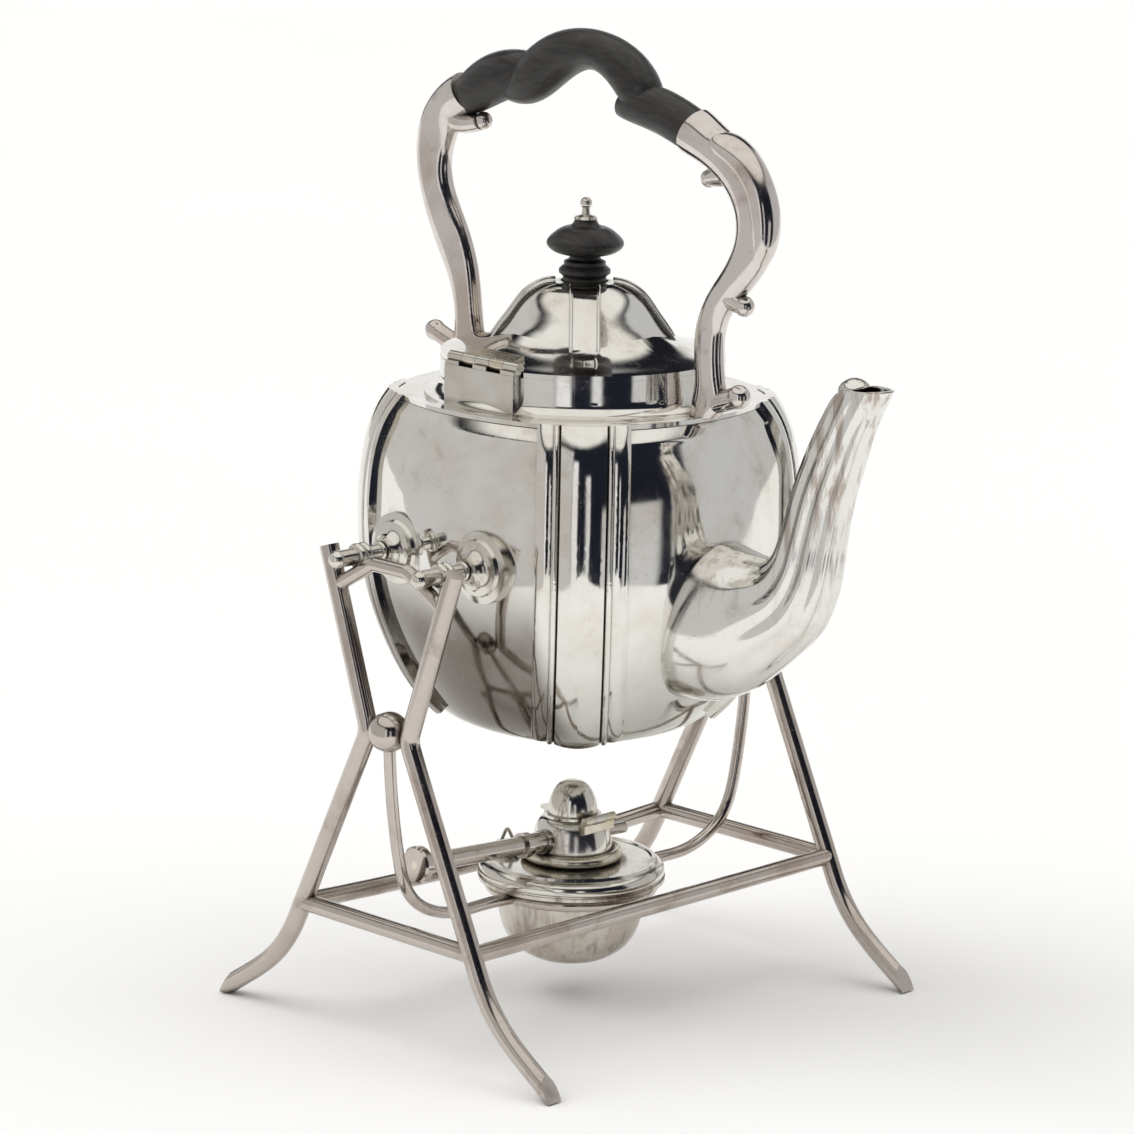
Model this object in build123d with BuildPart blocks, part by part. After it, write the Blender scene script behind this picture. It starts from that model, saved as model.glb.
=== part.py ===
from build123d import *
import os
from math import cos, hypot, pi, radians, sin, sqrt

os.makedirs("parts", exist_ok=True)

# Spirit kettle hung by four trunnions on an open rod stand, with a spirit burner in a ring below it.
# Millimetres. X runs toward the spout, Z up. The pieces are drawn from the middle of the stand and saved
# with the origin on the table under the middle of the whole.
middle_x = 27.5               # middle of the whole along X, from the middle of the stand

# ---- stand -----------------------------------------------------------------------------------
rod_r = 3.175                 # quarter-inch rod
frame_y = 85.0                # plane of each end frame
arm_top = (28.8, 160.8)       # x, z of the end of an arm
knee = (9.2, 103.2)           # corner of the bend beside the ball
stretcher_at = (39.5, 39.4)   # where the stretchers meet the leg
knee_bend = 8.0
leg_straight_end = (42.0, 34.0)
foot_mid = (53.6, 17.9)
foot_low = (65.6, 8.9)
foot_tip = (79.4, 0.0)
foot_fall = 33.0              # slope of the foot at its tip
foot_cut = (75.9, 2.4)        # the rod end is cut off through this point, at a slant
foot_cut_angle = 62.0
ball_r = 6.6
ball_z = 104.5
saddle_r = 2.4
saddle_flat = (8.2, 158.0)    # corner of the level middle of the saddle
saddle_foot = (25.4, 147.8)   # where its centre line reaches the arm
saddle_bend = 5.0
stretcher_r = 2.9
back_stretcher_sag = 2.3
cradle_r = 2.0
cradle_ring_r = 27.2
cradle_ring_z = 37.8
cradle_drop = (80.4, 64.0)    # y, z down the hanging rod that carries the ring
cradle_bend = (73.5, 47.0)
cradle_low = (60.0, 39.6)

# ---- kettle body -----------------------------------------------------------------------------
wall = 1.5
panel_axis = 20.0             # each panel is turned about an axis this far past the middle
base_z = 95.6
base_r = 33.0
rim_z = 203.5
rim_r = 56.7
ledge_lip = 0.5
panel_curve = (
    (44.0, 101.5),
    (57.0, 123.0),
    (61.9, 137.0),
    (65.3, 158.0),
    (65.2, 174.0),
    (62.9, 190.0),
    (59.8, 198.5),
)
pilaster_half = 14.8
pilaster_foot_z = 98.4
pilaster_tip_z = 206.2
pilaster_top = rim_z + 1.7     # it is cut off level here, just proud of the shoulder
band_half = 7.2               # smooth middle band of a pilaster
band_rise = 2.6
reed_r = 1.0
reed_groove = 0.5
pilaster_depth = 5.0

# ---- shoulder, neck and lid --------------------------------------------------------------------
ledge_t = 1.4
neck_r = 46.5
neck_wall = 1.3
neck_top = rim_z + 13.0
neck_fillet = 5.0
lid_r = neck_r - 0.1
lid_edge = 1.7
lid_wall = 1.2
plug_r = neck_r - neck_wall - 0.7
plug_depth = 2.8
# distance from the middle and height, up the lid's round skirt
skirt_curve = ((lid_r - 5.4, neck_top + 3.1), (lid_r - 11.4, neck_top + 4.7), (lid_r - 16.4, neck_top + 6.7))
skirt_top = (26.0, neck_top + 9.1)     # where the skirt has run in under the dome
dome_axis = 9.0               # each quarter of the dome is turned about an axis this far past the middle
# distance of a corner of the dome from the middle, height
dome_curve = (
    (30.4, neck_top + 4.9),
    (28.2, neck_top + 8.7),
    (24.3, neck_top + 14.1),
    (19.8, neck_top + 20.2),
    (14.8, neck_top + 23.7),
    (9.4, neck_top + 24.9),
)
dish_r = 7.8
dome_dish_z = neck_top + 23.9          # seat of the finial, a little below the crown
hinge_r = 1.9
hinge_y = -(neck_r - hinge_r)
hinge_z = neck_top + 2.9
hinge_pin_r = 0.75
pin_clearance = 0.05
hinge_half = 15.6
knuckles = 5
knuckle_gap = 0.15
leaf_half = 1.5 * 2 * hinge_half / knuckles    # the leaf is as wide as its three middle knuckles
leaf_half_t = 0.8
leaf_reach = neck_r - 10.0
housing_face = neck_r + 1.1
cheek_dip = (hinge_half + 0.4, neck_r - 1.9)       # x and -y of the hollow of a cheek
cheek_root = (hinge_half + 2.8, neck_r - 5.9)      # where it runs into the neck
web_depth = 2.8               # web under a knuckle of the housing, back from the hinge line
rim_flat = neck_r - 4.2       # the lid's edge is cut straight here, beside the hinge
lid_band_half = 4.4           # flat band at each corner of the dome, between two ridges
ridge_r = 0.6
band_sink = 2.5

# ---- finial -------------------------------------------------------------------------------------
finial_top = dome_dish_z + 21.2
# radius and height above its seat, up the turned foot of the knob
finial_foot = ((7.2, 0.0), (7.2, 1.6), (6.9, 2.2), (7.4, 2.8), (8.4, 3.6), (8.4, 4.8), (7.6, 5.6), (6.8, 6.2))
finial_neck = ((6.8, 7.4), (5.2, 8.2), (4.9, 9.4))
# radius and depth below its top, from the neck to the rounded crown
finial_bun = ((9.4, 11.0), (12.6, 8.0), (10.4, 4.8), (6.6, 2.6), (3.5, 0.0))
stud_cap = ((3.9, 0.0), (3.4, 0.9), (1.5, 1.4))     # radius and height above the knob
stud_neck = ((1.2, -1.6), (0.9, 0.0))               # radius and height beside the ball
stud_tail = 6.0
stud_r = 1.3
nut_r = 3.2
nut_t = 2.0
stud_ball_r = 2.0
stud_ball_z = finial_top + 5.1

# ---- trunnions ----------------------------------------------------------------------------------
trunnion_x = 18.9
trunnion_z = 158.35
pin_ball_r = 2.85
pin_ball_y = 90.6
pin_neck_r = 2.8
pin_shaft_r = 2.5
pin_bead_r = 4.1
bead_tube = 1.4
bead_ys = (82.0, 79.4)
boss_mouth = 71.4
pin_end = 66.0
flange_r = 11.6
boss_root = 52.0
boss_lip_r = 4.2
boss_steps = ((64.6, flange_r), (65.2, 9.4), (66.4, 8.8), (66.6, 7.4))   # outward along it, radius
boss_waist = (68.2, 5.2)
collar_bead = (boss_mouth + 0.9, 0.8)         # middle of the small bead against the boss, its radius

# ---- spout --------------------------------------------------------------------------------------
spout_wall = 1.2
# centre x, centre z, half height, half width, lean of the centre line from upright
spout_stations = (
    (50.0, 138.4, 26.6, 21.5, 90.0),
    (64.0, 139.5, 26.2, 20.6, 88.0),
    (75.0, 142.0, 22.8, 18.6, 80.0),
    (86.0, 146.8, 17.6, 15.2, 68.0),
    (94.6, 152.6, 14.0, 12.4, 50.0),
    (99.9, 162.0, 11.6, 10.6, 28.0),
    (102.7, 174.0, 10.5, 9.4, 13.0),
    (106.0, 187.5, 9.9, 8.7, 17.0),
    (111.0, 201.0, 9.4, 8.3, 22.0),
    (116.8, 213.6, 9.1, 8.1, 28.0),
    (124.8, 226.8, 9.6, 8.4, 34.0),
)
spout_lobes = 12
lobe_depth = 0.07             # share of the section's size, where the neck is fully lobed
mouth_z = 223.2
port_z = 138.0                # hole in the body wall behind the spout
port_r = 18.0

# ---- handle -------------------------------------------------------------------------------------
# x, z, half width in the handle's plane, half thickness, lean of the centre line from upright
rear_bracket = (
    (-neck_r - 6.3, 204.9, 5.4, 4.6, 0.0),
    (-53.0, 221.0, 5.4, 4.2, -8.0),
    (-56.6, 238.0, 6.2, 4.4, -20.0),
    (-63.0, 251.0, 6.9, 4.8, -28.0),
    (-69.4, 265.0, 6.3, 5.0, -12.0),
    (-70.4, 278.5, 7.4, 5.0, 14.0),
    (-63.5, 291.9, 7.4, 6.0, 50.0),
    (-55.2, 297.0, 7.4, 7.2, 57.0),
)
front_bracket = (
    (neck_r + 8.1, 204.9, 5.0, 4.6, 8.0),
    (56.6, 216.0, 5.6, 4.2, 0.0),
    (55.8, 228.5, 5.4, 4.2, 6.0),
    (59.2, 240.5, 5.2, 4.4, 32.0),
    (67.0, 250.5, 5.8, 4.8, 40.0),
    (74.0, 264.0, 7.4, 5.0, 10.0),
    (70.6, 279.0, 7.4, 5.2, -34.0),
    (62.0, 287.6, 7.0, 6.2, -58.0),
    (53.4, 292.2, 7.2, 7.2, -63.0),
    (47.0, 295.2, 7.7, 7.8, -65.0),
)
rear_scroll = (-69.0, 215.6, 3.6)     # x, z and radius of the curl at a bracket's foot
front_scroll = (69.0, 213.0, 3.9)
# leaves of the brackets, same columns as the brackets
rear_leaves = (
    ((-60.0, 287.4, 4.0, 4.6, 84.0), (-54.0, 287.0, 3.4, 4.4, 88.0), (-48.8, 288.0, 2.8, 3.8, 72.0)),
    ((-64.0, 294.6, 3.6, 4.6, 40.0), (-61.4, 299.2, 2.8, 4.0, 50.0), (-58.4, 301.8, 1.6, 3.0, 58.0)),
)
front_leaves = (
    ((64.0, 284.0, 4.6, 4.6, 250.0), (58.6, 282.2, 3.6, 4.2, 254.0), (54.6, 281.0, 2.6, 3.4, 258.0)),
    ((62.5, 247.5, 4.4, 4.4, 140.0), (66.0, 243.8, 3.6, 4.0, 112.0), (69.4, 242.4, 2.8, 3.2, 96.0)),
    (
        (73.0, 255.0, 3.2, 3.8, 30.0),
        (78.2, 264.0, 3.8, 4.8, 8.0),
        (76.0, 278.0, 4.4, 5.4, -26.0),
        (69.4, 287.0, 4.6, 6.0, -52.0),
        (60.8, 292.2, 4.2, 6.6, -62.0),
        (57.2, 294.0, 2.6, 4.8, -64.0),
    ),
)
# x, z and radius of the rolled tips of leaves
rear_curls = ((-47.8, 288.4, 3.0),)
front_curls = ((53.8, 280.8, 2.9), (70.2, 242.2, 3.3))
# lobes of the carved grip, same columns
grip_rear = (
    (-60.5, 293.2, 4.4, 4.0, 50.0),
    (-52.0, 297.6, 7.2, 7.0, 56.0),
    (-41.0, 303.5, 8.2, 7.8, 66.0),
    (-30.5, 306.2, 7.4, 7.2, 76.0),
    (-22.0, 308.0, 4.6, 4.4, 80.0),
)
grip_middle = (
    (-36.0, 299.0, 3.2, 3.6, 60.0),
    (-27.0, 303.4, 7.4, 7.2, 58.0),
    (-13.5, 312.6, 8.0, 7.8, 66.0),
    (4.0, 316.4, 6.4, 7.4, 92.0),
    (19.0, 309.6, 7.4, 7.4, 122.0),
    (28.5, 297.8, 5.0, 5.0, 140.0),
)
grip_front = (
    (15.5, 300.2, 4.0, 4.0, 96.0),
    (26.5, 301.0, 7.0, 7.0, 104.0),
    (41.0, 297.2, 7.0, 7.2, 114.0),
    (52.5, 292.2, 6.4, 6.8, 119.0),
    (59.5, 287.6, 4.2, 4.2, 122.0),
)

# ---- burner -------------------------------------------------------------------------------------
lamp_floor = 12.8
lamp_cup_r = 24.8
lamp_rim_z = 40.1
lamp_flange_r = 31.3
lamp_top_z = 47.2
lamp_top_r = 28.2
lamp_wall = 1.0
flange_t = 1.2
plate_dish = 0.5              # the plate of the burner lies this far below its rim
rim_bead = 1.2
collar_r = 14.9
collar_tube = 2.0
dome_r = 13.5
burner_dome_top = 61.4
dome_top_r = 8.8
dome_foot_r = 12.7
dome_wall = 0.8
cap_r = 8.3
cap_top = 73.4
cap_wall = 0.9
cap_flange_r = 9.6
cap_flange_t = 0.9
cap_tab = 4.0
cap_tab_w = 5.0
cap_hinge_x = 12.2
cap_hinge_z = 62.4
cap_hinge_r = 1.4
cap_leaf_x = 11.6              # middle of the leaf that holds the snuffer's hinge to the dome
cap_leaf_t = 1.8
cap_leaf_h = 4.2
cap_hinge_half = 7.0
cap_knuckle_half = 2.6
spindle_root_z = 53.8         # height of the spindle's line under the middle of the dome
spindle_tilt = 3.3
spindle_r = 1.2
spindle_clearance = 0.08
tube_r = 3.1
gland_r = 4.0
gland_y = -15.0
ferrule_y = -22.6
ferrule_r = 4.3
hub_y = -64.0
hub_gap = 0.3
hub_r = 4.4
knob_near_y = -69.4
knob_far_y = -73.0
knob_r = 6.1
far_bush_y = 25.0
far_bush_r = 1.9
wheel_r = 1.9
wheel_y = 1.8
wheel_t = 1.2
wick_half_t = 1.0
wick_half_w = 2.9
wick_top = 62.5
wick_foot = 18.0
wick_play = 0.1
wick_tube_wall = 0.45
filler_at = (-19.6, -11.0)
filler_r = 4.0
filler_bore = 3.0
filler_cap_h = 2.0
filler_neck_h = 1.2
stopper_play = 0.08
loop_wire = 0.6
loop_half = 3.2
loop_rise = 5.2
bearing_r = spindle_r + spindle_clearance


def side(sign):
    """Word for one end of the stand."""
    return "left" if sign < 0 else "right"


def end(sign):
    """Word for the spout end or the far end."""
    return "front" if sign > 0 else "back"


def frame_plane(y):
    """Upright plane across the stand, local x along X and local y along Z."""
    return Plane(origin=(0, y, 0), x_dir=(1, 0, 0), z_dir=(0, -1, 0))


def inside_of(points, amount):
    """Points of a profile moved square to it, to the left of its run, for the inner face of a wall."""
    moved = []
    for number, (x, y) in enumerate(points):
        before = points[max(number - 1, 0)]
        after = points[min(number + 1, len(points) - 1)]
        run, rise = after[0] - before[0], after[1] - before[1]
        length = hypot(run, rise)
        moved.append((x - amount * rise / length, y + amount * run / length))
    return moved


def save(piece, name):
    """Label one finished piece, set it in its place and write it to its own file."""
    placed = piece.part.moved(Location((-middle_x, 0, 0)))
    placed.label = name
    export_step(placed, f"parts/{name}.step")


# ---- stand --------------------------------------------------------------------------------------
def leg(sx, sy):
    """One bent rod: arm, knee, leg and splayed foot."""
    with BuildPart() as rod:
        with BuildLine(frame_plane(sy * frame_y)) as path:
            bent = FilletPolyline(
                (sx * arm_top[0], arm_top[1]),
                (sx * knee[0], knee[1]),
                (sx * leg_straight_end[0], leg_straight_end[1]),
                radius=knee_bend,
            )
            Spline(
                bent @ 1,
                (sx * foot_mid[0], foot_mid[1]),
                (sx * foot_low[0], foot_low[1]),
                (sx * foot_tip[0], foot_tip[1]),
                tangents=(bent % 1, Vector(sx * cos(radians(foot_fall)), 0, -sin(radians(foot_fall)))),
            )
        with BuildSketch(Plane(origin=path.line @ 0, z_dir=path.line % 0)):
            Circle(rod_r)
        sweep()
        slant = radians(foot_cut_angle)
        cut = Plane(
            origin=(sx * foot_cut[0], sy * frame_y, foot_cut[1]),
            z_dir=(sx * sin(slant), 0, cos(slant)),
        )
        with BuildSketch(cut):
            Rectangle(8 * rod_r, 8 * rod_r)
        extrude(amount=4 * rod_r, mode=Mode.SUBTRACT)
        split(bisect_by=Plane.XY, keep=Keep.TOP)
    return rod


legs = {(sx, sy): leg(sx, sy) for sx in (1, -1) for sy in (-1, 1)}
for (sx, sy), rod in legs.items():
    save(rod, f"leg_{end(sx)}_{side(sy)}")


def saddle(sy):
    """Thin rod across the crook of an end frame; the trunnion necks ride on its slopes."""
    with BuildPart() as rest:
        with BuildLine(frame_plane(sy * frame_y)) as path:
            FilletPolyline(
                (-saddle_foot[0], saddle_foot[1]),
                (-saddle_flat[0], saddle_flat[1]),
                (saddle_flat[0], saddle_flat[1]),
                (saddle_foot[0], saddle_foot[1]),
                radius=saddle_bend,
            )
        with BuildSketch(Plane(origin=path.line @ 0, z_dir=path.line % 0)):
            Circle(saddle_r)
        sweep()
        for sx in (1, -1):
            add(legs[(sx, sy)].part, mode=Mode.SUBTRACT)
    return rest


def frame_ball(sy):
    """Turned ball brazed between the two knees of an end frame."""
    with BuildPart() as ball:
        with Locations((0, sy * frame_y, ball_z)):
            Sphere(ball_r)
        for sx in (1, -1):
            add(legs[(sx, sy)].part, mode=Mode.SUBTRACT)
    return ball


saddles = {sy: saddle(sy) for sy in (-1, 1)}
balls = {sy: frame_ball(sy) for sy in (-1, 1)}
for sy in (-1, 1):
    save(saddles[sy], f"saddle_{side(sy)}")
    save(balls[sy], f"frame_ball_{side(sy)}")


def long_stretcher(sx):
    """Stretcher between the two end frames; the back one has sagged a little."""
    x, z = sx * stretcher_at[0], stretcher_at[1]
    sag = back_stretcher_sag if sx < 0 else 0.2
    with BuildPart() as bar:
        with BuildLine() as path:
            ThreePointArc((x, -frame_y, z), (x, 0, z - sag), (x, frame_y, z))
        with BuildSketch(Plane(origin=path.line @ 0, z_dir=path.line % 0)):
            Circle(stretcher_r)
        sweep()
        for sy in (-1, 1):
            add(legs[(sx, sy)].part, mode=Mode.SUBTRACT)
    return bar


def end_stretcher(sy):
    """Stretcher between the two legs of one end frame."""
    with BuildPart() as bar:
        with BuildSketch(Plane(origin=(-stretcher_at[0], sy * frame_y, stretcher_at[1]), z_dir=(1, 0, 0))):
            Circle(stretcher_r)
        extrude(amount=2 * stretcher_at[0])
        for sx in (1, -1):
            add(legs[(sx, sy)].part, mode=Mode.SUBTRACT)
            add(long_stretchers[sx].part, mode=Mode.SUBTRACT)
    return bar


long_stretchers = {sx: long_stretcher(sx) for sx in (1, -1)}
for sx in (1, -1):
    save(long_stretchers[sx], f"stretcher_{end(sx)}")
for sy in (-1, 1):
    save(end_stretcher(sy), f"end_stretcher_{side(sy)}")

with BuildPart() as cradle_ring:
    with BuildSketch(Plane.XZ) as ring_section:
        with Locations((cradle_ring_r, cradle_ring_z)):
            Circle(cradle_r)
    revolve(axis=Axis.Z)
save(cradle_ring, "cradle_ring")


def cradle_arm(sy):
    """Thin rod hung from the ball that carries the burner ring."""
    upright = Plane(origin=(0, 0, 0), x_dir=(0, sy, 0), z_dir=(sy, 0, 0))
    with BuildPart() as arm:
        with BuildLine(upright) as path:
            Spline(
                (frame_y - 0.4, ball_z - ball_r + 1.5),
                cradle_drop,
                cradle_bend,
                cradle_low,
                (cradle_ring_r, cradle_ring_z),
                tangents=(Vector(0, -0.05 * sy, -1), Vector(0, -sy, -0.1)),
            )
        with BuildSketch(Plane(origin=path.line @ 0, z_dir=path.line % 0)):
            Circle(cradle_r)
        sweep()
        add(balls[sy].part, mode=Mode.SUBTRACT)
        add(cradle_ring.part, mode=Mode.SUBTRACT)
        with BuildSketch(Plane.XY.offset(cradle_ring_z - 5)):
            Circle(cradle_ring_r)
        extrude(amount=10, mode=Mode.SUBTRACT)
    return arm


for sy in (-1, 1):
    save(cradle_arm(sy), f"cradle_arm_{side(sy)}")


# ---- kettle body --------------------------------------------------------------------------------
panel_axes = ((0, panel_axis, 0), (0, -panel_axis, 0), (panel_axis, 0, 0), (-panel_axis, 0, 0))


def ridge(panel_r):
    """Distance of the corner between two panels from the middle, where the panels stand panel_r out."""
    turned = panel_axis + panel_r
    return (sqrt(4 * turned**2 - 2 * panel_axis**2) - sqrt(2) * panel_axis) / 2


def panel_solid(inset, top_z):
    """Four turned panels meeting at the corners: the body's form, or its hollow when inset."""
    outside = [(panel_axis + r, z) for r, z in ((base_r, base_z), *panel_curve, (rim_r, rim_z))]
    skin_points = [(panel_axis + base_r, base_z + inset), *inside_of(outside, inset)[1:]]
    with BuildPart() as form:
        for number, place in enumerate(panel_axes):
            with BuildSketch(Plane(origin=place, x_dir=(1, 0, 0), z_dir=(0, -1, 0))):
                with BuildLine():
                    floor = Line((0, base_z + inset), skin_points[0])
                    skin = Spline(*skin_points, tangents=((1, 0), (-0.58, 0.81)))
                    if top_z > (skin @ 1).Y:
                        Polyline(skin @ 1, (skin_points[-1][0], top_z), (0, top_z), floor @ 0)
                    else:
                        Polyline(skin @ 1, (0, top_z), floor @ 0)
                make_face()
            revolve(axis=Axis(place, (0, 0, 1)), mode=Mode.INTERSECT if number else Mode.ADD)
    return form


body_form = panel_solid(0.0, rim_z)
body_hollow = panel_solid(wall, pilaster_tip_z + 2)


def pilaster(turn):
    """Reeded strip that covers one corner of the body, standing just proud at both ends."""
    outward = Vector(cos(radians(turn)), sin(radians(turn)), 0)
    upright = Plane(origin=(0, 0, 0), x_dir=outward, z_dir=outward.cross(Vector(0, 0, 1)))
    with BuildPart() as strip:
        with BuildLine(upright) as path:
            Spline(
                (ridge(40.6), pilaster_foot_z),
                *[(ridge(r), z) for r, z in panel_curve],
                (ridge(rim_r), rim_z),
                (ridge(rim_r - 2.1), pilaster_tip_z),
            )
        start = path.line @ 0
        tangent = path.line % 0
        across = outward.cross(tangent).normalized()
        with BuildSketch(Plane(origin=start, x_dir=across, z_dir=tangent)) as section:
            with BuildLine():
                band = ThreePointArc((0, band_rise), (band_half / 2, band_rise - 0.35), (band_half, 1.1))
                groove = Line(band @ 1, (band_half + reed_groove, 0.1))
                reed_x = band_half + reed_groove
                reed = ThreePointArc(groove @ 1, (reed_x + reed_r, 1.2), (reed_x + 2 * reed_r, 0))
                edge = ThreePointArc(reed @ 1, (12.4, 0.0), (pilaster_half, -1.4))
                Polyline(edge @ 1, (pilaster_half, -pilaster_depth), (0, -pilaster_depth), band @ 0)
            make_face()
            mirror(about=Plane.YZ)
        sweep()
        split(bisect_by=Plane.XY.offset(pilaster_top), keep=Keep.BOTTOM)
    return strip


with BuildPart() as kettle_body:
    add(body_form.part)
    for corner in range(4):
        add(pilaster(45 + 90 * corner).part)
    add(body_hollow.part, mode=Mode.SUBTRACT)
    with BuildSketch(Plane.YZ.offset(panel_axis)):
        with Locations((0, port_z)):
            Circle(port_r)
    extrude(amount=rim_r, mode=Mode.SUBTRACT)
save(kettle_body, "kettle_body")

# ---- shoulder and neck --------------------------------------------------------------------------
ledge_z = rim_z + ledge_t
with BuildPart() as shoulder_neck:
    with BuildSketch(Plane.XY.offset(rim_z)):
        for number, (x, y, _) in enumerate(panel_axes):
            with Locations((x, y)):
                Circle(panel_axis + rim_r + ledge_lip, mode=Mode.INTERSECT if number else Mode.ADD)
    extrude(amount=ledge_t)
    with BuildSketch(Plane.XZ):
        with BuildLine():
            Polyline(
                (neck_r + neck_fillet, ledge_z),
                (neck_r + neck_fillet, rim_z),
                (0, rim_z),
                (0, neck_top),
                (neck_r, neck_top),
                (neck_r, ledge_z + neck_fillet),
            )
            bow = neck_fillet * (1 - cos(radians(45)))
            ThreePointArc(
                (neck_r, ledge_z + neck_fillet),
                (neck_r + bow, ledge_z + bow),
                (neck_r + neck_fillet, ledge_z),
            )
        make_face()
    revolve(axis=Axis.Z)
    with BuildSketch(Plane.XY.offset(rim_z)):
        Circle(neck_r - neck_wall)
    extrude(amount=neck_top - rim_z, mode=Mode.SUBTRACT)
    add(kettle_body.part, mode=Mode.SUBTRACT)
save(shoulder_neck, "shoulder_neck")


# ---- spout --------------------------------------------------------------------------------------
def spout_plane(x, z, lean):
    """Plane square to the spout's centre line, local x across the kettle and local y on the inside."""
    ahead = Vector(sin(radians(lean)), 0, cos(radians(lean)))
    return Plane(origin=(x, 0, z), x_dir=(0, 1, 0), z_dir=ahead)


def spout_form(inset, lobed):
    """Lofted spout through its stations; the lobes swell from nothing at the root."""
    points_per_lobe = 4
    count = spout_lobes * points_per_lobe
    with BuildPart() as form:
        for number, (x, z, half_h, half_w, lean) in enumerate(spout_stations):
            depth = lobe_depth * min(1.0, max(0.0, (number - 2) / 3)) if lobed else 0.0
            with BuildSketch(spout_plane(x, z, lean)):
                with BuildLine():
                    ring = []
                    for step in range(count):
                        turn = 2 * pi * step / count
                        swell = 1 + depth * cos(spout_lobes * turn)
                        across = (half_w - inset) * swell * cos(turn)
                        ring.append((across, (half_h - inset) * swell * sin(turn)))
                    Spline(*ring, periodic=True)
                make_face()
        loft()
        split(bisect_by=Plane.XY.offset(mouth_z), keep=Keep.BOTTOM)
    return form


spout_bore = spout_form(spout_wall, False)
with BuildPart() as spout:
    add(spout_form(0.0, True).part)
    add(spout_bore.part, mode=Mode.SUBTRACT)
    add(body_form.part, mode=Mode.SUBTRACT)
save(spout, "spout")


# ---- trunnions ----------------------------------------------------------------------------------
def trunnion_plane(sx, sy):
    """Local x runs outward along the trunnion from the middle of the kettle, local y up."""
    return Plane(origin=(sx * trunnion_x, 0, trunnion_z), x_dir=(0, sy, 0), z_dir=(sy, 0, 0))


def trunnion_axis(sx):
    """Line through both trunnions on one side of the middle."""
    return Axis((sx * trunnion_x, 0, trunnion_z), (0, 1, 0))


def trunnion_pin(sx, sy):
    """Turned pin: shaft, three beads, waist that sits on the saddle, ball end."""
    with BuildPart() as pin:
        with BuildSketch(trunnion_plane(sx, sy)):
            with Locations((pin_end, 0)):
                Rectangle(bead_ys[0] - pin_end, 2 * pin_shaft_r, align=(Align.MIN, Align.CENTER))
            with Locations((bead_ys[0], 0)):
                Rectangle(pin_ball_y - bead_ys[0], 2 * pin_neck_r, align=(Align.MIN, Align.CENTER))
            with Locations((pin_ball_y, 0)):
                Circle(pin_ball_r)
            with Locations((bead_ys[0], pin_bead_r - bead_tube), (bead_ys[1], pin_bead_r - bead_tube)):
                Circle(bead_tube)
            with Locations((collar_bead[0], pin_shaft_r)):
                Circle(collar_bead[1])
            with Locations((pin_end - 20, 0)):
                Rectangle(60, 20, align=(Align.MIN, Align.MAX), mode=Mode.SUBTRACT)
        revolve(axis=trunnion_axis(sx))
    return pin


def trunnion_boss(sx, sy):
    """Stepped and flared boss on the panel, bored for its pin."""
    with BuildPart() as boss:
        with BuildSketch(trunnion_plane(sx, sy)):
            with BuildLine():
                Polyline(
                    (boss_mouth, boss_lip_r),
                    (boss_mouth, 0),
                    (boss_root, 0),
                    (boss_root, flange_r),
                    *boss_steps,
                )
                Spline(boss_steps[-1], boss_waist, (boss_mouth, boss_lip_r), tangents=((0.3, -1), (1, 0)))
            make_face()
        revolve(axis=trunnion_axis(sx))
        with BuildSketch(Plane(origin=(sx * trunnion_x, sy * pin_end, trunnion_z), z_dir=(0, sy, 0))):
            Circle(pin_shaft_r + pin_clearance)
        extrude(amount=20, mode=Mode.SUBTRACT)
        add(body_form.part, mode=Mode.SUBTRACT)
    return boss


for sx in (1, -1):
    for sy in (-1, 1):
        save(trunnion_pin(sx, sy), f"trunnion_pin_{end(sx)}_{side(sy)}")
        save(trunnion_boss(sx, sy), f"trunnion_boss_{end(sx)}_{side(sy)}")

# ---- lid ----------------------------------------------------------------------------------------
def quarter_r(corner):
    """How far out a quarter of the dome stands where its corners are the given distance out."""
    across = 2 * corner + sqrt(2) * dome_axis
    return sqrt(across**2 + 2 * dome_axis**2) / 2 - dome_axis


def dome_form_of(inset):
    """Four turned quarters meeting at the corners: the dome of the lid, or its hollow when inset."""
    foot_z = neck_top + lid_edge
    outside = [(dome_axis + quarter_r(corner), z) for corner, z in dome_curve]
    skin_points = inside_of(outside, inset)
    with BuildPart() as form:
        for number, (x, y, _) in enumerate(panel_axes):
            place = (x * dome_axis / panel_axis, y * dome_axis / panel_axis, 0)
            with BuildSketch(Plane(origin=place, x_dir=(1, 0, 0), z_dir=(0, -1, 0))):
                with BuildLine():
                    foot = Line((skin_points[0][0], foot_z), skin_points[0])
                    skin = Spline(*skin_points, tangents=((-0.1, 1), (-1, 0.05)))
                    Polyline(skin @ 1, (0, (skin @ 1).Y), (0, foot_z), foot @ 0)
                make_face()
            revolve(axis=Axis(place, (0, 0, 1)), mode=Mode.INTERSECT if number else Mode.ADD)
    return form


def dome_band(turn):
    """Flat band that covers one corner of the dome, with a ridge along each edge."""
    outward = Vector(cos(radians(turn)), sin(radians(turn)), 0)
    with BuildPart() as strip:
        with BuildLine(Plane(origin=(0, 0, 0), x_dir=outward, z_dir=outward.cross(Vector(0, 0, 1)))) as path:
            Spline(*dome_curve)
        start = path.line @ 0
        tangent = path.line % 0
        across = outward.cross(tangent).normalized()
        with BuildSketch(Plane(origin=start, x_dir=across, z_dir=tangent)):
            with Locations((0, -band_sink / 2)):
                Rectangle(2 * lid_band_half, band_sink)
            with Locations((-lid_band_half, 0), (lid_band_half, 0)):
                Circle(ridge_r)
        sweep()
    return strip


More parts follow.
